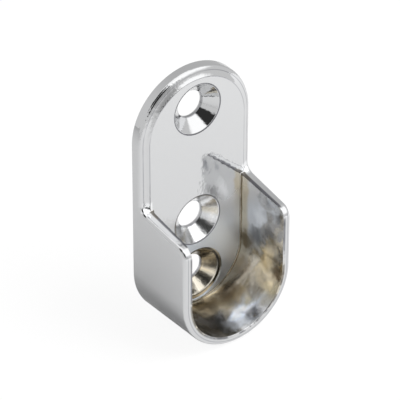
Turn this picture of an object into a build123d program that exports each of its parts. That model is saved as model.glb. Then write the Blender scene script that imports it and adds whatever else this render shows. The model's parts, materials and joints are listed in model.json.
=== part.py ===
"""Wardrobe rail end support.

One zinc casting, polished and chromed: a round-topped screw plate that stands flat against the
wardrobe's side, with an open-topped cradle on its front that the end of an oval rail drops into.
The back of the plate lies in the XZ plane, the cradle opens towards -Y and +Z is up. The origin is
on the back face, midway between the two upper screws.
"""

from math import cos, radians, sin, tan
import os

from build123d import *

# Screw plate, in millimetres
plate_thickness = 2.5
screw_to_top_edge = 6.75
back_edge_radius = 0.15

# Three countersunk screw holes on the centre line
upper_pitch = 20.0
lower_pitch = 10.0
screw_hole_radius = 2.25
screw_head_radius = 4.2
countersink_angle = 90.0
hole_mouth_break = 0.12

# Ogee round the front edge of the plate: four arcs, and the slope at which one passes to the next
corner_radius = 0.35
corner_slope = 38.0
hollow_radius = 2.8
hollow_slope = 20.0
crown_radius = 1.65
crown_slope = 34.0
shoulder_radius = 0.6

# Cradle: a U of thin wall, open at the top and at the front, with draft to leave the die
seat_width = 16.8
wall_thickness_at_back = 2.0
seat_floor_below_screw = 5.25
cradle_depth = 10.3
outside_draft = 1.5
inside_draft = 1.5
seat_root_radius = 0.25

# Tops of the cradle's walls, seen from the side
wall_rise = 11.95
wall_top_fall = 8.0
wall_root_radius = 1.7
wall_root_sink = 0.7
wall_front_radius = 2.1
wall_inner_edge_radius = 0.12
wall_edge_flat = 0.67

# Shallow relief round the lowest screw, which bites into the root of the cradle's floor
relief_rim = 0.55
relief_below_screw = 0.3
relief_depth = 0.15

# Places that follow from the sizes
top_screw_height = upper_pitch / 2
middle_screw_height = top_screw_height - upper_pitch
bottom_screw_height = middle_screw_height - lower_pitch
screw_heights = (top_screw_height, middle_screw_height, bottom_screw_height)
seat_radius = seat_width / 2
plate_radius = seat_radius + wall_thickness_at_back
plate_width = plate_radius * 2
plate_arc_height = top_screw_height + screw_to_top_edge - plate_radius
cradle_arc_height = bottom_screw_height - seat_floor_below_screw + seat_radius
relief_radius = screw_head_radius + relief_rim
front_face = Plane.XZ.offset(plate_thickness)
front_y = -plate_thickness
cradle_front_y = front_y - cradle_depth
outside_front_radius = plate_radius + cradle_front_y * tan(radians(outside_draft))
inside_front_radius = seat_radius + cradle_depth * tan(radians(inside_draft))
wall_front_thickness = outside_front_radius - inside_front_radius
wall_outer_edge_radius = wall_front_thickness - wall_edge_flat - wall_inner_edge_radius


def wall_top_height(y):
    """Height of the walls' straight top edge at the depth y."""
    return cradle_arc_height + wall_rise + (y - front_y) * tan(radians(wall_top_fall))


# Section of the plate's edge: the arcs' radii, and the slopes between them from the flat to the side
edge_radii = (corner_radius, hollow_radius, crown_radius, shoulder_radius)
edge_slopes = (0.0, corner_slope, hollow_slope, crown_slope, 90.0 - outside_draft)
edge_arcs = list(zip(edge_radii, edge_slopes, edge_slopes[1:]))
edge_run = sum(radius * abs(sin(radians(end)) - sin(radians(start))) for radius, start, end in edge_arcs)
edge_fall = sum(radius * abs(cos(radians(end)) - cos(radians(start))) for radius, start, end in edge_arcs)
shoulder_y = front_y + edge_fall
shoulder_x = plate_radius + shoulder_y * tan(radians(outside_draft))
flat_half_width = shoulder_x - edge_run

# Side view of the walls: a hollow root runs up into the plate, and the front corner is round
root_arc_y = front_y + wall_root_sink - wall_root_radius
root_foot_y = root_arc_y + wall_root_radius * sin(radians(wall_top_fall))
root_arc_height = wall_top_height(root_foot_y) + wall_root_radius * cos(radians(wall_top_fall))

# Core that leaves the seat for the rail: a U that widens towards the front
with BuildPart() as seat_core:
    with BuildSketch(front_face):
        with Locations((0, cradle_arc_height)):
            Circle(seat_radius)
            Rectangle(seat_width, wall_rise + plate_radius, align=(Align.CENTER, Align.MIN))
    extrude(amount=cradle_depth)
    core_sides = seat_core.faces().filter_by(Axis.Y, reverse=True).sort_by(Axis.Z)[:-1]
    draft(core_sides, front_face, -inside_draft)

# Screw plate: the section of its edge is turned round the top, then run down to the cradle
with BuildPart() as screw_plate:
    with BuildSketch(Plane.XY.offset(plate_arc_height)) as half_section:
        with BuildLine():
            curve = Line((0, front_y), (flat_half_width, front_y))
            for radius, start, end in edge_arcs:
                curve = JernArc(curve @ 1, curve % 1, radius, end - start)
            Polyline(curve @ 1, (plate_radius, 0), (0, 0), (0, front_y))
        make_face()
    revolve(axis=Axis((0, 0, plate_arc_height), (0, -1, 0)), revolution_arc=180)
    with BuildSketch(Plane.XY.offset(plate_arc_height)) as full_section:
        add(half_section.sketch)
        mirror(about=Plane.YZ)
    extrude(amount=cradle_arc_height - plate_arc_height)

with BuildPart() as rail_support:
    # Solid block of the cradle, narrowing towards the front
    with BuildSketch(Plane.XZ):
        with Locations((0, cradle_arc_height)):
            Circle(plate_radius)
            Rectangle(plate_width, wall_rise + plate_radius, align=(Align.CENTER, Align.MIN))
    extrude(amount=-cradle_front_y)
    block_sides = rail_support.faces().filter_by(Axis.Y, reverse=True).sort_by(Axis.Z)[:-1]
    draft(block_sides, Plane.XZ, outside_draft)

    # The block is trimmed to the side view of the walls
    with BuildSketch(Plane.YZ) as side_view:
        with BuildLine():
            root = CenterArc((root_arc_y, root_arc_height), wall_root_radius, 0, wall_top_fall - 90)
            Polyline(
                root @ 1,
                (cradle_front_y, wall_top_height(cradle_front_y)),
                (cradle_front_y, cradle_arc_height - plate_width),
                (0, cradle_arc_height - plate_width),
                (0, root_arc_height),
                root @ 0,
            )
        make_face()
        front_corner = side_view.vertices().group_by(Axis.X)[0].sort_by(Axis.Y)[-1]
        fillet(front_corner, wall_front_radius)
    extrude(amount=plate_width, both=True, mode=Mode.INTERSECT)

    # One generous radius follows the outer edge, over both wall tops and round the front
    front_rim = rail_support.faces().sort_by(Axis.Y)[0].edges().sort_by(Axis.Z)[0]
    fillet(front_rim, wall_outer_edge_radius)

    # The plate stands up out of the cradle's back
    add(screw_plate.part)

    # Seat for the rail, with a radius at its root and thin rounded edges at its mouth
    add(seat_core.part, mode=Mode.SUBTRACT)
    plate_front = rail_support.faces().filter_by(Axis.Y).group_by(Axis.Y)[1]
    seat_root = plate_front.edges().filter_by(GeomType.CIRCLE).sort_by(Axis.Z)[0]
    fillet(seat_root, seat_root_radius)
    cradle_front = rail_support.faces().sort_by(Axis.Y)[0]
    seat_mouth = cradle_front.edges().filter_by(GeomType.CIRCLE).sort_by(Axis.Z)[-1]
    fillet(seat_mouth, wall_inner_edge_radius)

    # Back edge, all round
    back_outline = rail_support.faces().sort_by(Axis.Y)[-1].edges()
    fillet(back_outline, back_edge_radius)

    # Relief that lets the lowest screw's head sit clear of the seat's root
    with BuildSketch(front_face.offset(-relief_depth)):
        with Locations((0, bottom_screw_height - relief_below_screw)):
            Circle(relief_radius)
    extrude(amount=relief_depth + seat_root_radius, mode=Mode.SUBTRACT)

    # Countersunk screw holes, each with the sharp edge of its mouth broken
    with Locations(front_face):
        with Locations(*[(0, height) for height in screw_heights]):
            CounterSinkHole(screw_hole_radius, screw_head_radius, counter_sink_angle=countersink_angle)
    hole_mouths = rail_support.edges(Select.LAST).sort_by(Axis.Y)[: len(screw_heights)]
    chamfer(hole_mouths, hole_mouth_break)

rail_support.part.label = "rail_support"
os.makedirs("parts", exist_ok=True)
export_step(rail_support.part, "parts/rail_support.step")
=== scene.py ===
"""Wardrobe rail end support, finished in polished chrome and shown in a white studio."""

import json
from math import cos, pi, radians, sin, tan

import bpy
import numpy as np
from bpy.props import FloatProperty, FloatVectorProperty, PointerProperty
from mathutils import Matrix, Vector


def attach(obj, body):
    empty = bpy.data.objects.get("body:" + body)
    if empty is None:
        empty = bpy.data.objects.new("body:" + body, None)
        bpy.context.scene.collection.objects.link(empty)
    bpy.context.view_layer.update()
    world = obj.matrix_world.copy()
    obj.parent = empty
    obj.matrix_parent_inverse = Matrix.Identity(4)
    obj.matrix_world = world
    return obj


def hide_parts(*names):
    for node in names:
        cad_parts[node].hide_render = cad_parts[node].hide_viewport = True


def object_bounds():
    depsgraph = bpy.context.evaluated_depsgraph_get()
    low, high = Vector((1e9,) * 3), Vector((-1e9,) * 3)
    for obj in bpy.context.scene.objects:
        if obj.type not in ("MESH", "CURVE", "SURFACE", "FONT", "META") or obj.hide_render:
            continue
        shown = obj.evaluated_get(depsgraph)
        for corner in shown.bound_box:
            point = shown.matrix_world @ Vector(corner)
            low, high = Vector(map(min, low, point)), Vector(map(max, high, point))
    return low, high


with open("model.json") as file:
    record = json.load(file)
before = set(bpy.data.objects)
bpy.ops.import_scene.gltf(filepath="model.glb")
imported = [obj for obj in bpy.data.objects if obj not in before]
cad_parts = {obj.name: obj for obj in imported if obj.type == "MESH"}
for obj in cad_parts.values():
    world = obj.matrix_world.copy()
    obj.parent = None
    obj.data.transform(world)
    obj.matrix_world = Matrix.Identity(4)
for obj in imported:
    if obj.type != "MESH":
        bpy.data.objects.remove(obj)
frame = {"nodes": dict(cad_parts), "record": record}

bl_info = {
    "name": "Wardrobe Rail End Support",
    "version": (1, 0, 0),
    "blender": (4, 5, 0),
    "location": "View3D > Sidebar > Rail Support",
    "description": "Finishes a chromed rail end support and sets up its studio",
    "category": "Object",
}

CAD_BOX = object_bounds()
MM_PER_METRE = 1000

# How the casting's facets are rounded out
FACET_CUTS = 3
MERGE_DISTANCE = 2e-8
CREASE_COSINE = cos(radians(8))
STRAIGHT_COSINE = 0.9
TINY = 1e-18

# Places that the frame gives, in millimetres
MOUNTS = {mount["name"]: mount for mount in frame["record"]["mounts"]}
CRADLE_FRONT = MOUNTS["rail_seat"]["pos_m"][1] * MM_PER_METRE
SEAT_ARC_HEIGHT = MOUNTS["rail_seat"]["pos_m"][2] * MM_PER_METRE
PLATE_ARC_HEIGHT = (CAD_BOX[1].z - CAD_BOX[1].x) * MM_PER_METRE
HOLE_RADIUS = MOUNTS["screw_holes"]["dims"]["hole_r_mm"]
HALF_PITCH = MOUNTS["screw_holes"]["dims"]["spacing_y_mm"] / 2
LOWER_PITCH = MOUNTS["lower_screw_holes"]["dims"]["spacing_y_mm"]
SCREW_HEIGHTS = (HALF_PITCH, -HALF_PITCH, -HALF_PITCH - LOWER_PITCH)

# Other places on the casting that its finish follows, in millimetres
PLATE_FRONT = -2.5
FLAT_RADIUS = 8.7
GROOVE_RADII = (8.86, 9.74)
HEAD_RADIUS = 4.2
SEAT_RADIUS = 8.4
WALL_TOP_HEIGHT = -4.55
WALL_TOP_SLOPE = tan(radians(8))

# Soft edges of the finish's zones, in millimetres: the zone is 0 at the first place and 1 at the second
BACK_FADE = (-0.3, -0.6)
INSIDE_FADE = (SEAT_RADIUS + 0.75, SEAT_RADIUS + 0.45)
OFF_PLATE_FADE = (PLATE_FRONT - 0.02, PLATE_FRONT - 0.1)
SEAT_BACK_FADE = (SEAT_RADIUS, SEAT_RADIUS - 0.2)
SUNK_FADE = (PLATE_FRONT + 0.02, PLATE_FRONT + 0.05)
HOLES_FADE = (HEAD_RADIUS + 0.2, HEAD_RADIUS + 0.15)
BORE_END_FADE = (-0.02, -0.08)
LOW_HOLES_FADE = (-3.0, -4.0)
MIDDLE_HOLE_FADE = (-15.5, -14.5)
RELIEF_FADE = (HEAD_RADIUS + 0.9, HEAD_RADIUS + 0.4)
OGEE_FADE = (FLAT_RADIUS, FLAT_RADIUS + 0.3)
OGEE_FOOT_FADE = (-6.0, -4.0)
OGEE_BACK_FADE = (-1.1, -1.4)
OGEE_LEFT_FADE = (4.0, -2.0)
NICKEL_ROOT_FADE = (PLATE_FRONT - 2.1, PLATE_FRONT - 1.3)
NICKEL_LOW_FADE = (-14.5, -18.0)
MOUTH_HEIGHT_FADE = (-21.0, -24.0)
MOUTH_DEPTH_FADE = (-6.0, -8.0)
COOL_FADE = (-9.0, -13.5)
COOL_HOLE_FADE = (HEAD_RADIUS, HEAD_RADIUS + 0.2)
ROOT_TINT_FADE = (-4.5, -7.0)
DULL_FADE = (-5.0, -10.5)
NEAR_SEAT_FADE = (3.0, -3.0)

# Bands in millimetres: the band is 0 at the outer places and 1 between the inner ones
MIRRORED_BAND = (-12.0, -9.0, -4.0, -2.5)
ROOT_HIGHLIGHT_BAND = (-6.0, -4.2, -2.1, -1.8)
ROOT_LINE_BAND = (SEAT_RADIUS - 0.3, SEAT_RADIUS - 0.2, *reversed(INSIDE_FADE))
ROOT_LINE_DEPTH_BAND = (PLATE_FRONT - 0.3, PLATE_FRONT - 0.2, PLATE_FRONT + 0.02, PLATE_FRONT + 0.1)
RIM_LINE_BAND = (SEAT_RADIUS + 0.9, SEAT_RADIUS + 0.98, SEAT_RADIUS + 1.06, SEAT_RADIUS + 1.16)
HOLE_MOUTH_BAND = (HEAD_RADIUS - 0.08, HEAD_RADIUS, HEAD_RADIUS + 0.14, HEAD_RADIUS + 0.2)

# Edges of the lines, most of them painted dark reflections and painted shade, and of the roots' painted
# highlights, in millimetres
ROOT_HIGHLIGHT_TOP_FADE = (0.02, -0.06)
ROOT_HIGHLIGHT_SIDE_FADE = (SEAT_RADIUS, SEAT_RADIUS + 0.15)
ROOT_HIGHLIGHT_HEIGHT_FADE = (-3.0, -3.6)
MOUTH_LINE_FRONT = CRADLE_FRONT - 0.08
MOUTH_LINE_WIDTH = 0.18
MOUTH_LINE_WANDER = 0.12
MOUTH_LINE_CORE = 0.05
WHOLE_LINE_FADE = (-15.0, -12.0)
ROOT_LINE_TOP_FADE = (0.0, 0.2)
RIM_LINE_DEPTH_FADE = (CRADLE_FRONT + 0.4, CRADLE_FRONT + 0.1)
GROOVE_HALF_WIDTH = 0.1
GROOVE_FOOT_FADE = (-4.0, -3.0)
GROOVE_BACK_FADE = (-1.2, -1.3)
BORE_RING_FADE = (HOLE_RADIUS + 0.13, HOLE_RADIUS + 0.05)
RING_BACK_FADE = (-0.02, -0.3)

# Colour that each zone's plating is multiplied by. Most of these are painted highlights, painted shade and
# painted dark reflections
# Warmer, darker tint along the seat's root, low down
ROOT_TINT_TONE = (0.92, 0.89, 0.82)
# Painted highlight where the walls' tops run up into the plate
ROOT_HIGHLIGHT_TONE = (1.36, 1.36, 1.36)
# Painted dark reflection along the seat's sharp mouth
MOUTH_DARK_REFLECTION_TONE = (0.25, 0.25, 0.27)
# Painted shade along the seat's root
ROOT_SHADE_TONE = (0.48, 0.45, 0.4)
# Painted dark reflection along the rim
RIM_DARK_REFLECTION_TONE = (0.72, 0.72, 0.74)
# Painted shade in the ogee's grooves
GROOVE_SHADE_TONE = (0.68, 0.68, 0.7)
RING_TONE = (0.32, 0.32, 0.34)
BORE_RING_STRENGTH = 0.6
STREAK_STRENGTH = 0.9
# Painted light that makes the middle countersink brighter
MIDDLE_HOLE_HIGHLIGHT_LEVEL = 1.3

# Darker and brighter places in the seat, traced from the photo with their tones set: centre,
# inner and outer radius, and tone
# These are painted reflections: dark patches of painted shade and bright painted glints
PAINTED_SEAT_REFLECTIONS = (
    ((8.4, -3.9, -16.4), 0.9, 2.5, (0.3, 0.26, 0.2)),
    ((8.5, -6.3, -14.3), 0.6, 2.3, (0.45, 0.45, 0.45)),
    ((8.6, -9.6, -12.8), 0.7, 2.5, (0.45, 0.45, 0.45)),
    ((8.65, -12.0, -8.6), 0.2, 1.5, (0.5, 0.51, 0.53)),
    ((8.55, -9.0, -6.6), 0.2, 1.0, (0.75, 0.76, 0.78)),
    ((8.5, -7.2, -10.4), 0.6, 2.2, (1.28, 1.28, 1.28)),
    ((8.5, -8.8, -17.2), 1.0, 2.8, (1.35, 1.33, 1.25)),
    ((8.5, -11.8, -18.6), 0.4, 1.8, (0.34, 0.29, 0.25)),
    ((7.3, -11.0, -21.5), 0.6, 2.0, (1.3, 1.28, 1.2)),
    ((7.2, -4.0, -20.9), 0.8, 3.2, (0.6, 0.55, 0.5)),
    ((4.2, -4.8, -24.0), 0.8, 3.6, (0.45, 0.41, 0.37)),
    ((0.0, -4.5, -25.0), 0.8, 3.0, (0.5, 0.46, 0.41)),
    ((-3.0, -8.5, -25.1), 2.2, 5.4, (0.22, 0.21, 0.2)),
    ((4.2, -11.4, -24.3), 0.5, 1.9, (0.35, 0.35, 0.36)),
    ((2.5, -9.2, -25.0), 0.7, 2.1, (1.45, 1.5, 1.62)),
    ((5.0, -9.3, -23.7), 0.6, 2.3, (1.4, 1.46, 1.56)),
)

# Length of each noise's blobs, and how far it moves or raises things, in millimetres
WANDER_LENGTH = 2.5
WANDER_DEPTH = 0.7
WANDER_HEIGHT = 2.0
WARP_LENGTH = 1.3
WARP_DISTANCE = 1.6
BREAK_LENGTH = 1.2
UNEVEN_LENGTH = 5.0
STREAK_LENGTH = 0.25
GRAIN_LENGTH = 0.35
SPECKLE_DEPTH = 0.0035
FINE_LENGTH = 0.8
SWELL_LENGTH = 3.2

# Levels of a noise between which a line comes in, and shares of the noises in roughness and waves
BREAK_LEVELS = (-0.1, 0.1)
UNEVEN_LEVELS = (-0.45, 0.25)
GRAIN_ROUGHNESS = 0.06
FAR_RIPPLE = 0.35
OGEE_RIGHT_FINE = 0.4
OGEE_LEFT_FINE = 2.6
HOLES_FINE = 1.2

# Studio, with the sensor in millimetres and the other lengths in metres
SENSOR_WIDTH = 36
CLIP_START = 0.01
FLOOR_SIZE = 0.5
FLOOR_GAP = 0.0001
FLOOR_COLOUR = (0.92, 0.92, 0.92, 1)
FLOOR_ROUGHNESS = 0.9
# How much of the floor is plain glow to the camera, and how bright the glow is
FLOOR_GLOW = 0.87
FLOOR_GLOW_LEVEL = 1.05
# Azimuth and elevation of the soft box in degrees
LAMP_TOWARDS = (38, 52)
LAMP_DISTANCE = 0.42
LAMP_SIZE = 0.3
# Parts of the room, traced from the photo's reflections and set: azimuth, elevation, inner and
# outer radius in degrees, and brightness
ROOM_PATCHES = (
    (150, 15, 30, 75, 0.58),
    (-60, 82, 22, 42, 1.3),
    (-6, 20, 8, 26, 0.42),
    (32, 44, 20, 36, 1.4),
    (-32, 32, 18, 24, 0.035),
    (5, 57, 3, 9, 2.4),
    (-88, 51, 15, 27, 0.04),
)


class ChromeSettings(bpy.types.PropertyGroup):
    """Finish of the plating."""

    chrome_colour: FloatVectorProperty(
        name="Chrome", description="Colour of the bright plating", subtype="COLOR",
        default=(0.70, 0.705, 0.712),
    )
    nickel_colour: FloatVectorProperty(
        name="Nickel", description="Warm underlayer where the plating is thin", subtype="COLOR",
        default=(0.68, 0.635, 0.54),
    )
    cool_colour: FloatVectorProperty(
        name="Cool chrome", description="Colour of the plating on the seat's flat back", subtype="COLOR",
        default=(0.84, 0.88, 0.935),
    )
    polish: FloatProperty(
        name="Polish", description="Roughness of the polished faces", default=0.06, min=0, max=1,
    )
    cast_skin: FloatProperty(
        name="Cast skin", description="Roughness of the unpolished seat", default=0.19, min=0, max=1,
    )
    dull_back: FloatProperty(
        name="Dull back", description="Roughness of the seat's flat back", default=0.5, min=0, max=1,
    )
    ripple: FloatProperty(
        name="Ripple", description="Depth of the waves that hand polishing leaves", subtype="DISTANCE",
        default=0.00001, min=0,
    )
    ripple_length: FloatProperty(
        name="Ripple length", description="Length of the waves that hand polishing leaves",
        subtype="DISTANCE", default=0.0009, min=0,
    )
    cast_wave: FloatProperty(
        name="Cast wave", description="Depth of the longer waves of the cast seat", subtype="DISTANCE",
        default=0.00015, min=0,
    )


class StudioSettings(bpy.types.PropertyGroup):
    """Camera and lights."""

    azimuth: FloatProperty(
        name="Azimuth", description="Camera's turn about the part", subtype="ANGLE",
        default=radians(-37.109),
    )
    elevation: FloatProperty(
        name="Elevation", description="Camera's height above the horizon", subtype="ANGLE",
        default=radians(34.459),
    )
    roll: FloatProperty(
        name="Roll", description="Camera's tilt about its own line of sight", subtype="ANGLE",
        default=radians(0.131),
    )
    distance: FloatProperty(
        name="Distance", description="From the camera to the part", subtype="DISTANCE", default=0.421297,
    )
    focal_length: FloatProperty(
        name="Focal length", description="Lens in millimetres on a 36 mm frame", default=249.01,
    )
    aim: FloatVectorProperty(
        name="Aim", description="Point in the middle of the picture", subtype="TRANSLATION",
        default=(0.00048, -0.0025, -0.006549),
    )
    room_level: FloatProperty(
        name="Room", description="Brightness of the plain room in the metal", default=0.74, min=0,
    )
    ambient_level: FloatProperty(
        name="Ambient", description="Brightness of the light from all round", default=0.32, min=0,
    )
    lamp_level: FloatProperty(
        name="Soft box", description="Brightness that the soft box alone gives a level white face",
        default=0.8, min=0,
    )


def unit(vectors):
    """Vectors scaled to a length of 1."""
    lengths = np.linalg.norm(vectors, axis=-1, keepdims=True)
    return vectors / np.maximum(lengths, TINY)


def dot(first, second):
    """Dot product of each pair of vectors."""
    return np.sum(first * second, axis=-1, keepdims=True)


def merge(points):
    """Which points to keep, one in each place, and for every point the number of the one kept there."""
    places = np.round(points / MERGE_DISTANCE).astype(np.int64)
    _, kept, numbers = np.unique(places, axis=0, return_index=True, return_inverse=True)
    return kept, numbers.reshape(-1)


def whole(triangles):
    """True for each triangle whose corners are three different points."""
    first, second, third = triangles.T
    return (first != second) & (second != third) & (third != first)


def facets_of(mesh):
    """The mesh's merged points, its triangles, and the exact normal at each triangle's corners."""
    mesh.calc_loop_triangles()
    count = len(mesh.loop_triangles)
    points = np.empty(len(mesh.vertices) * 3)
    mesh.vertices.foreach_get("co", points)
    corners = np.empty(count * 3, dtype=np.int32)
    mesh.loop_triangles.foreach_get("vertices", corners)
    loops = np.empty(count * 3, dtype=np.int32)
    mesh.loop_triangles.foreach_get("loops", loops)
    normals = np.empty(len(mesh.loops) * 3)
    mesh.corner_normals.foreach_get("vector", normals)
    points = points.reshape(-1, 3)
    kept, numbers = merge(points)
    triangles = numbers[corners].reshape(-1, 3)
    normals = unit(normals.reshape(-1, 3))[loops].reshape(-1, 3, 3)
    sound = whole(triangles)
    return points[kept], triangles[sound], normals[sound]


def edge_handles(points, triangles, normals):
    """Handles of a curve along each triangle's edges, shared by the two triangles that meet there.

    Across a smooth edge the curve follows the surface's normals. Along a crease it follows the
    line in which the two surfaces meet.
    """
    normals_at = {}
    for triangle, corner_normals in zip(triangles.tolist(), normals):
        for corner in range(3):
            after = (corner + 1) % 3
            start, end = triangle[corner], triangle[after]
            normals_at.setdefault((start, end), []).append(corner_normals[corner])
            normals_at.setdefault((end, start), []).append(corner_normals[after])
    handles = {}
    for (start, end), found in normals_at.items():
        chord = points[end] - points[start]
        length = np.linalg.norm(chord)
        first, last = found[0], found[-1]
        if first @ last > CREASE_COSINE:
            normal = (first + last) / np.linalg.norm(first + last)
            towards = chord - (chord @ normal) * normal
        else:
            crease = np.cross(first, last)
            crease *= np.sign(crease @ chord) / np.linalg.norm(crease)
            towards = crease * length if crease @ chord >= STRAIGHT_COSINE * length else chord
        handles[start, end] = points[start] + towards / 3
    return handles


def cut_triangle(cuts):
    """Points of a triangle cut up evenly, as steps towards its corners, and the small triangles."""
    points = [(i, j, cuts - i - j) for i in range(cuts + 1) for j in range(cuts + 1 - i)]
    small = []
    for i, j, k in points:
        if k > 0:
            small.append(((i, j, k), (i + 1, j, k - 1), (i, j + 1, k - 1)))
        if k > 1:
            small.append(((i + 1, j, k - 1), (i + 1, j + 1, k - 2), (i, j + 1, k - 1)))
    return points, small


def rounded_facets(mesh, cuts):
    """Points, triangles and corner normals of the mesh with each facet cut up and curved.

    Each facet becomes a cubic patch that goes through its corners at right angles to their
    normals, so the small triangles lie on the casting's true surface.
    """
    points, triangles, normals = facets_of(mesh)
    handles = edge_handles(points, triangles, normals)
    corner = [points[triangles[:, number]] for number in range(3)]
    handle = {}
    for i, j in ((0, 1), (0, 2), (1, 0), (1, 2), (2, 0), (2, 1)):
        edges = zip(triangles[:, i].tolist(), triangles[:, j].tolist())
        handle[i, j] = np.array([handles[edge] for edge in edges])
    middle = sum(handle.values()) / 4 - sum(corner) / 6
    bend = {}
    for i, j in ((0, 1), (1, 2), (2, 0)):
        chord = corner[j] - corner[i]
        both = normals[:, i] + normals[:, j]
        bend[i, j] = unit(both - 2 * dot(chord, both) / np.maximum(dot(chord, chord), TINY) * chord)

    steps, small = cut_triangle(cuts)
    place = {}
    normal = {}
    for step in steps:
        a, b, c = (share / cuts for share in step)
        place[step] = (
            corner[0] * a ** 3 + corner[1] * b ** 3 + corner[2] * c ** 3 + middle * 6 * a * b * c
            + 3 * (handle[0, 1] * a * a * b + handle[1, 0] * a * b * b + handle[1, 2] * b * b * c
                   + handle[2, 1] * b * c * c + handle[2, 0] * c * c * a + handle[0, 2] * c * a * a)
        )
        normal[step] = unit(
            normals[:, 0] * a * a + normals[:, 1] * b * b + normals[:, 2] * c * c
            + bend[0, 1] * a * b + bend[1, 2] * b * c + bend[2, 0] * c * a
        )
    places, normals = (
        np.stack([np.stack([values[step] for step in trio], axis=1) for trio in small], axis=1)
        for values in (place, normal)
    )
    places = places.reshape(-1, 3)
    kept, numbers = merge(places)
    triangles = numbers.reshape(-1, 3)
    sound = whole(triangles)
    return places[kept], triangles[sound], normals.reshape(-1, 3, 3)[sound]


class Tree:
    """Node tree of a material or a world. It is emptied, and nodes are added to it and linked."""

    def __init__(self, owner, output):
        owner.use_nodes = True
        self.tree = owner.node_tree
        self.tree.nodes.clear()
        self.output = self.tree.nodes.new(output)

    def node(self, kind, inputs=(), **options):
        """New node with its options set, and its inputs set to values or linked to other sockets."""
        node = self.tree.nodes.new(kind)
        for name, value in options.items():
            setattr(node, name, value)
        for socket, value in dict(inputs).items():
            if isinstance(value, bpy.types.NodeSocket):
                self.tree.links.new(value, node.inputs[socket])
            else:
                node.inputs[socket].default_value = value
        return node

    def math(self, operation, *values):
        """Result of an operation on numbers."""
        return self.node("ShaderNodeMath", dict(enumerate(values)), operation=operation).outputs["Value"]

    def chain(self, operation, *values):
        """Result of an operation on several numbers, one after the other."""
        result = values[0]
        for value in values[1:]:
            result = self.math(operation, result, value)
        return result

    def times(self, *values):
        """Product of several numbers."""
        return self.chain("MULTIPLY", *values)

    def inverse(self, mask):
        """1 where the mask is 0, and 0 where it is 1."""
        return self.math("SUBTRACT", 1.0, mask)

    def vector(self, operation, *values):
        """Result of an operation on vectors."""
        node = self.node("ShaderNodeVectorMath", dict(enumerate(values)), operation=operation)
        return node.outputs["Value" if operation in ("LENGTH", "DISTANCE", "DOT_PRODUCT") else "Vector"]

    def scaled(self, vector, factor):
        """Vector or colour times a number."""
        inputs = {0: vector, "Scale": factor}
        return self.node("ShaderNodeVectorMath", inputs, operation="SCALE").outputs["Vector"]

    def fade(self, value, start, full):
        """Smooth step from 0 at start to 1 at full."""
        inputs = {"Value": value, "From Min": start, "From Max": full}
        return self.node("ShaderNodeMapRange", inputs, interpolation_type="SMOOTHSTEP").outputs["Result"]

    def band(self, value, start, full, last, end):
        """1 from full to last, and 0 at start and at end."""
        return self.times(self.fade(value, start, full), self.fade(value, end, last))

    def blend(self, factor, first, second):
        """Mix of two numbers."""
        return self.node("ShaderNodeMix", {0: factor, 2: first, 3: second}).outputs[0]

    def tint(self, factor, first, second):
        """Mix of two colours, whose sockets come after those for numbers and vectors."""
        return self.node("ShaderNodeMix", {0: factor, 6: first, 7: second}, data_type="RGBA").outputs[2]

    def tone(self, factor, colour, multiplier):
        """Colour multiplied by another one where the factor is 1."""
        return self.vector("MULTIPLY", colour, self.tint(factor, (1, 1, 1, 1), (*multiplier, 1)))

    def mixed(self, factor, first, second):
        """Mix of the shaders of two nodes."""
        return self.node("ShaderNodeMixShader", {0: factor, 1: first.outputs[0], 2: second.outputs[0]})

    def show(self, node):
        """Show the node's shader on the surface."""
        self.tree.links.new(node.outputs[0], self.output.inputs["Surface"])


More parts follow.
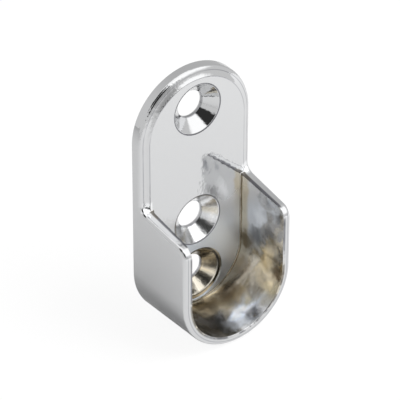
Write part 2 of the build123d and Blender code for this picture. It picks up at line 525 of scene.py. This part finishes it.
class CastingTree(Tree):
    """Tree with distances on the casting in millimetres, and masks that are 1 in a zone and 0 outside."""

    def __init__(self, material):
        super().__init__(material, "ShaderNodeOutputMaterial")
        coordinates = self.node("ShaderNodeTexCoord")
        self.place = self.scaled(coordinates.outputs["Object"], MM_PER_METRE)
        self.x, self.y, self.z = self.node("ShaderNodeSeparateXYZ", {"Vector": self.place}).outputs
        self.wander = self.noise(WANDER_LENGTH, seed=3.0)
        self.wandered_y = self.math("MULTIPLY_ADD", self.wander, WANDER_DEPTH, self.y)
        self.wandered_z = self.math("MULTIPLY_ADD", self.wander, WANDER_HEIGHT, self.z)
        self.grain = self.noise(GRAIN_LENGTH, seed=7.0, detail=3.0)
        self.in_front = self.fade(self.y, *BACK_FADE)

        # The seat's walls, their root and the seat's flat back
        below_arc = self.math("MINIMUM", self.math("SUBTRACT", self.z, SEAT_ARC_HEIGHT), 0.0)
        self.from_middle = self.vector("LENGTH", self.flat(self.x, below_arc))
        off_plate = self.fade(self.y, *OFF_PLATE_FADE)
        self.walls = self.times(self.fade(self.from_middle, *INSIDE_FADE), off_plate)
        self.root = self.fade(self.wandered_y, *NICKEL_ROOT_FADE)
        behind = self.fade(self.from_middle, *SEAT_BACK_FADE)
        self.seat_back = self.times(self.inverse(off_plate), self.in_front, behind)
        top = self.math("MULTIPLY_ADD", self.y, WALL_TOP_SLOPE, WALL_TOP_HEIGHT)
        self.to_top = self.math("SUBTRACT", top, self.z)

        # The countersinks, and the shallow relief round the lowest one
        offsets = [self.flat(self.x, self.math("SUBTRACT", self.z, height)) for height in SCREW_HEIGHTS]
        distances = [self.vector("LENGTH", offset) for offset in offsets]
        self.from_screw = self.chain("MINIMUM", *distances)
        self.out_of_lowest = self.vector("NORMALIZE", offsets[-1])
        sunk = self.fade(self.y, *SUNK_FADE)
        within = self.fade(self.from_screw, *HOLES_FADE)
        self.holes = self.times(sunk, within, self.fade(self.y, *BORE_END_FADE))
        self.low_holes = self.times(self.holes, self.fade(self.z, *LOW_HOLES_FADE))
        self.relief = self.times(self.fade(distances[-1], *RELIEF_FADE), sunk, self.in_front)

        # The ogee round the plate
        above_arc = self.math("MAXIMUM", self.math("SUBTRACT", self.z, PLATE_ARC_HEIGHT), 0.0)
        self.from_plate = self.vector("LENGTH", self.flat(self.x, above_arc))
        self.ogee = self.times(
            self.fade(self.from_plate, *OGEE_FADE), self.fade(self.z, *OGEE_FOOT_FADE),
            self.fade(self.y, *OGEE_BACK_FADE),
        )

        # What is as cast under the plating. The rest is polished
        self.satin = self.chain("MAXIMUM", self.walls, self.relief, self.low_holes)

    def flat(self, x, z):
        """Vector in the plane of the plate."""
        return self.node("ShaderNodeCombineXYZ", {"X": x, "Z": z}).outputs["Vector"]

    def noise(self, length, seed=0.0, detail=2.0, place=None):
        """Noise from -1 to 1 with blobs about a length across. The seed moves it away from the others."""
        moved = self.vector("ADD", place or self.place, (seed, seed, seed))
        node = self.node("ShaderNodeTexNoise", {"Vector": moved, "Scale": 1 / length, "Detail": detail})
        return self.math("MULTIPLY_ADD", node.outputs["Fac"], 2.0, -1.0)


def plating_colour(tree, settings):
    """Chrome, nickel where the plating is thin, and cool chrome on the seat's flat back.

    Nickel shows along the seat's root, low in the seat and round the lowest screw, but not at
    the seat's mouth.
    """
    low = tree.fade(tree.wandered_z, *NICKEL_LOW_FADE)
    mouth = tree.times(
        tree.fade(tree.wandered_z, *MOUTH_HEIGHT_FADE), tree.fade(tree.wandered_y, *MOUTH_DEPTH_FADE)
    )
    thin = tree.math("MAXIMUM", tree.root, tree.times(low, tree.inverse(mouth)))
    nickel = tree.math("MAXIMUM", tree.times(tree.walls, thin), tree.relief)
    cool = tree.times(
        tree.seat_back, tree.fade(tree.z, *COOL_FADE), tree.fade(tree.from_screw, *COOL_HOLE_FADE),
        tree.inverse(tree.relief),
    )
    colour = tree.tint(nickel, (*settings.chrome_colour, 1), (*settings.nickel_colour, 1))
    return tree.tint(cool, colour, (*settings.cool_colour, 1))


def root_tint_and_seat_reflections(tree, colour):
    """Warmer, darker tint along the seat's root, and painted reflections on its walls: dark patches of
    painted shade and bright painted glints.
    """
    # Warmer, darker tint along the seat's root, low down
    root_tint = tree.times(tree.walls, tree.root, tree.fade(tree.z, *ROOT_TINT_FADE))
    colour = tree.tone(root_tint, colour, ROOT_TINT_TONE)
    warp = tree.flat(tree.noise(WARP_LENGTH, seed=21.0), tree.noise(WARP_LENGTH, seed=33.0))
    warped = tree.vector("ADD", tree.place, tree.scaled(warp, WARP_DISTANCE))
    # Painted reflections: dark patches of painted shade and bright painted glints
    for centre, inner, outer, multiplier in PAINTED_SEAT_REFLECTIONS:
        close = tree.fade(tree.vector("DISTANCE", warped, centre), outer, inner)
        colour = tree.tone(tree.times(tree.walls, close), colour, multiplier)
    return colour


def painted_root_highlights(tree, colour):
    """Painted highlight where the walls' tops run up into the plate."""
    bright = tree.times(
        tree.band(tree.y, *ROOT_HIGHLIGHT_BAND), tree.fade(tree.to_top, *ROOT_HIGHLIGHT_TOP_FADE),
        tree.fade(tree.math("ABSOLUTE", tree.x), *ROOT_HIGHLIGHT_SIDE_FADE),
        tree.fade(tree.z, *ROOT_HIGHLIGHT_HEIGHT_FADE),
    )
    return tree.tone(bright, colour, ROOT_HIGHLIGHT_TONE)


def dark_reflection_and_shade_lines(tree, colour):
    """Painted dark reflections along the seat's sharp mouth and the rim, and painted shade along its root.
    The mouth's is broken low down.
    """
    # Painted dark reflection along the mouth
    to_mouth = tree.math("MINIMUM", tree.to_top, tree.math("SUBTRACT", tree.y, MOUTH_LINE_FRONT))
    width = tree.math("MULTIPLY_ADD", tree.wander, MOUTH_LINE_WANDER, MOUTH_LINE_WIDTH)
    dashes = tree.fade(tree.noise(BREAK_LENGTH, seed=41.0), *BREAK_LEVELS)
    unbroken = tree.math("MAXIMUM", tree.fade(tree.z, *WHOLE_LINE_FADE), dashes)
    mouth = tree.times(tree.walls, tree.fade(to_mouth, width, MOUTH_LINE_CORE), unbroken)
    colour = tree.tone(mouth, colour, MOUTH_DARK_REFLECTION_TONE)
    # Painted shade along the root
    root = tree.times(
        tree.band(tree.from_middle, *ROOT_LINE_BAND), tree.band(tree.y, *ROOT_LINE_DEPTH_BAND),
        tree.fade(tree.to_top, *ROOT_LINE_TOP_FADE),
    )
    colour = tree.tone(root, colour, ROOT_SHADE_TONE)
    # Painted dark reflection along the rim
    rim = tree.times(tree.band(tree.from_middle, *RIM_LINE_BAND), tree.fade(tree.y, *RIM_LINE_DEPTH_FADE))
    return tree.tone(rim, colour, RIM_DARK_REFLECTION_TONE)


def ogee_groove_shade(tree, colour):
    """Uneven painted shade in the two grooves of the ogee."""
    half = GROOVE_HALF_WIDTH
    grooves = tree.chain("MAXIMUM", *(
        tree.band(tree.from_plate, radius - half, radius - half / 2, radius + half / 2, radius + half)
        for radius in GROOVE_RADII
    ))
    uneven = tree.fade(tree.noise(UNEVEN_LENGTH, seed=51.0), *UNEVEN_LEVELS)
    grooves = tree.times(
        grooves, uneven, tree.fade(tree.z, *GROOVE_FOOT_FADE), tree.fade(tree.y, *GROOVE_BACK_FADE)
    )
    return tree.tone(grooves, colour, GROOVE_SHADE_TONE)


def hole_rings(tree, colour):
    """Dark rings at the mouth of each countersink and, fainter, at its bore."""
    bore = tree.times(tree.fade(tree.from_screw, *BORE_RING_FADE), BORE_RING_STRENGTH)
    rings = tree.math("MAXIMUM", tree.band(tree.from_screw, *HOLE_MOUTH_BAND), bore)
    return tree.tone(tree.times(rings, tree.fade(tree.y, *RING_BACK_FADE)), colour, RING_TONE)


def drill_streaks_and_highlight(tree, colour):
    """Streaks in the two lower countersinks, and painted light that makes the middle one the brighter."""
    streaks = tree.noise(STREAK_LENGTH, detail=3.0, place=tree.out_of_lowest)
    # Painted light: the middle countersink is made brighter
    level = tree.blend(tree.fade(tree.z, *MIDDLE_HOLE_FADE), 1.0, MIDDLE_HOLE_HIGHLIGHT_LEVEL)
    level = tree.math("MULTIPLY_ADD", streaks, STREAK_STRENGTH, level)
    return tree.scaled(colour, tree.blend(tree.low_holes, 1.0, level))


def plating_roughness(tree, settings):
    """Grainy cast skin in the seat and the lower holes, a dull flat back, and polish on the rest."""
    skin = tree.math("MULTIPLY_ADD", tree.grain, GRAIN_ROUGHNESS, settings.cast_skin)
    rough = tree.blend(tree.satin, settings.polish, skin)
    dull = tree.times(tree.seat_back, tree.fade(tree.wandered_z, *DULL_FADE), tree.inverse(tree.satin))
    return tree.blend(dull, rough, settings.dull_back)


def plating_waves(tree, settings):
    """Height in millimetres of the waves from polishing, and of those of the cast seat.

    The fine ones are deepest on the ogee's left. They lie on the plate too where it mirrors the
    wall's edge, and in the holes.
    """
    ripple = settings.ripple * MM_PER_METRE
    near_seat = tree.times(tree.fade(tree.z, *NEAR_SEAT_FADE), tree.in_front)
    broad = tree.times(
        tree.noise(settings.ripple_length * MM_PER_METRE), ripple, tree.blend(near_seat, FAR_RIPPLE, 1.0)
    )
    left = tree.fade(tree.x, *OGEE_LEFT_FADE)
    on_ogee = tree.times(tree.ogee, tree.blend(left, OGEE_RIGHT_FINE, OGEE_LEFT_FINE))
    on_plate = tree.times(tree.seat_back, tree.band(tree.z, *MIRRORED_BAND))
    ragged = tree.chain("MAXIMUM", on_ogee, on_plate, tree.times(tree.holes, HOLES_FINE))
    fine = tree.times(tree.noise(FINE_LENGTH, seed=15.0, detail=3.0), ripple, ragged)
    swell = tree.times(
        tree.noise(SWELL_LENGTH, seed=11.0, detail=1.0), settings.cast_wave * MM_PER_METRE, tree.walls
    )
    speckle = tree.times(tree.grain, SPECKLE_DEPTH, tree.walls)
    return tree.chain("ADD", broad, fine, swell, speckle)


def chrome_material(settings):
    """Bright chrome on the polished faces, which thins to satin nickel deep in the seat. Its colour also
    carries painted reflections, painted shade and painted highlights.
    """
    material = bpy.data.materials.new("polished_chrome")
    tree = CastingTree(material)
    colour = plating_colour(tree, settings)
    # Painted reflections, painted shade and painted highlights go into the plating's colour here, with the
    # root's tint, the rings and the streaks
    for add_tints_and_painted_light in (root_tint_and_seat_reflections, painted_root_highlights, dark_reflection_and_shade_lines, ogee_groove_shade, hole_rings, drill_streaks_and_highlight):
        colour = add_tints_and_painted_light(tree, colour)
    waves = {"Height": plating_waves(tree, settings), "Distance": 1 / MM_PER_METRE}
    bump = tree.node("ShaderNodeBump", waves)
    tree.show(tree.node("ShaderNodeBsdfPrincipled", {
        "Base Color": tree.vector("MINIMUM", colour, (1, 1, 1)),
        "Metallic": 1,
        "Roughness": plating_roughness(tree, settings),
        "Normal": bump.outputs["Normal"],
    }))
    return material


def direction(azimuth, elevation):
    """Unit vector for an azimuth from the front and an elevation, both in degrees."""
    azimuth, elevation = radians(azimuth), radians(elevation)
    return Vector((sin(azimuth) * cos(elevation), -cos(azimuth) * cos(elevation), sin(elevation)))


def aimed_camera(settings):
    """Camera at the settings' angles and distance, which looks at their aim."""
    turn = (
        Matrix.Rotation(settings.azimuth, 4, "Z")
        @ Matrix.Rotation(radians(90) - settings.elevation, 4, "X")
        @ Matrix.Rotation(settings.roll, 4, "Z")
    )
    place = Vector(settings.aim) + turn.to_3x3() @ Vector((0, 0, settings.distance))
    bpy.ops.object.camera_add(location=place, rotation=turn.to_euler())
    camera = bpy.context.object
    camera.data.lens = settings.focal_length
    camera.data.sensor_width = SENSOR_WIDTH
    camera.data.clip_start = CLIP_START
    return camera


def soft_box(settings):
    """Square lamp in front and above, on the right. The metal doesn't mirror it."""
    towards = direction(*LAMP_TOWARDS)
    turn = towards.to_track_quat("Z", "Y").to_euler()
    bpy.ops.object.light_add(type="AREA", location=towards * LAMP_DISTANCE, rotation=turn)
    lamp = bpy.context.object
    lamp.name = "soft_box"
    lamp.data.shape = "SQUARE"
    lamp.data.size = LAMP_SIZE
    lamp.data.energy = settings.lamp_level * (pi * LAMP_DISTANCE) ** 2 / towards.z
    lamp.visible_camera = False
    lamp.visible_glossy = False


def white_room(settings):
    """World that is plain white to the camera, and to the metal a pale room with bright and dark parts."""
    world = bpy.data.worlds.new("white_room")
    tree = Tree(world, "ShaderNodeOutputWorld")
    towards = tree.node("ShaderNodeTexCoord").outputs["Generated"]
    level = settings.room_level
    for azimuth, elevation, inner, outer, brightness in ROOM_PATCHES:
        closeness = tree.vector("DOT_PRODUCT", towards, direction(azimuth, elevation))
        part = tree.fade(closeness, cos(radians(outer)), cos(radians(inner)))
        level = tree.blend(part, level, brightness)
    seen, room, ambient = (
        tree.node("ShaderNodeBackground", {"Color": (1, 1, 1, 1), "Strength": strength})
        for strength in (1.0, level, settings.ambient_level)
    )
    path = tree.node("ShaderNodeLightPath")
    mirrored = tree.mixed(path.outputs["Is Glossy Ray"], ambient, room)
    tree.show(tree.mixed(path.outputs["Is Camera Ray"], mirrored, seen))
    return world


def pale_floor():
    """Plain pale floor right under the part, which is nearly plain white to the camera."""
    bpy.ops.mesh.primitive_plane_add(size=FLOOR_SIZE, location=(0, 0, CAD_BOX[0].z - FLOOR_GAP))
    floor = bpy.context.object
    floor.name = "floor"
    material = bpy.data.materials.new("pale_floor")
    tree = Tree(material, "ShaderNodeOutputMaterial")
    paint = tree.node("ShaderNodeBsdfPrincipled", {
        "Base Color": FLOOR_COLOUR,
        "Roughness": FLOOR_ROUGHNESS,
        "Specular IOR Level": 0,
    })
    glow = tree.node("ShaderNodeEmission", {"Strength": FLOOR_GLOW_LEVEL})
    path = tree.node("ShaderNodeLightPath")
    tree.show(tree.mixed(tree.times(path.outputs["Is Camera Ray"], FLOOR_GLOW), paint, glow))
    floor.data.materials.append(material)
    return floor


class RAILSUPPORT_OT_casting(bpy.types.Operator):
    """Round out the casting's facets and give it its plated finish"""

    bl_idname = "rail_support.casting"
    bl_label = "Casting"

    def execute(self, context):
        points, triangles, normals = rounded_facets(frame["nodes"]["rail_support"].data, FACET_CUTS)
        mesh = bpy.data.meshes.new("casting")
        mesh.from_pydata(points.tolist(), [], triangles.tolist())
        mesh.shade_smooth()
        mesh.normals_split_custom_set(normals.reshape(-1, 3).tolist())
        mesh.materials.append(chrome_material(context.scene.chrome_settings))
        casting = bpy.data.objects.new("casting", mesh)
        context.collection.objects.link(casting)
        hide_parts("rail_support")
        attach(casting, "root")
        return {"FINISHED"}


class RAILSUPPORT_OT_studio(bpy.types.Operator):
    """Set up the camera, the floor and the lights"""

    bl_idname = "rail_support.studio"
    bl_label = "Studio"

    def execute(self, context):
        settings = context.scene.studio_settings
        context.scene.camera = aimed_camera(settings)
        context.scene.world = white_room(settings)
        soft_box(settings)
        pale_floor()
        context.scene.view_settings.view_transform = "Standard"
        return {"FINISHED"}


class RAILSUPPORT_PT_panel(bpy.types.Panel):
    """Lists the settings and the operators."""

    bl_label = "Rail Support"
    bl_idname = "RAILSUPPORT_PT_panel"
    bl_space_type = "VIEW_3D"
    bl_region_type = "UI"
    bl_category = "Rail Support"

    def draw(self, context):
        layout = self.layout
        for group in (context.scene.chrome_settings, context.scene.studio_settings):
            for name in group.__annotations__:
                layout.prop(group, name)
        layout.operator(RAILSUPPORT_OT_casting.bl_idname)
        layout.operator(RAILSUPPORT_OT_studio.bl_idname)


CLASSES = (
    ChromeSettings,
    StudioSettings,
    RAILSUPPORT_OT_casting,
    RAILSUPPORT_OT_studio,
    RAILSUPPORT_PT_panel,
)


def register():
    for cls in CLASSES:
        bpy.utils.register_class(cls)
    bpy.types.Scene.chrome_settings = PointerProperty(type=ChromeSettings)
    bpy.types.Scene.studio_settings = PointerProperty(type=StudioSettings)


def unregister():
    del bpy.types.Scene.studio_settings
    del bpy.types.Scene.chrome_settings
    for cls in reversed(CLASSES):
        bpy.utils.unregister_class(cls)


def main():
    register()
    bpy.ops.rail_support.casting()
    bpy.ops.rail_support.studio()


if __name__ == "__main__":
    main()
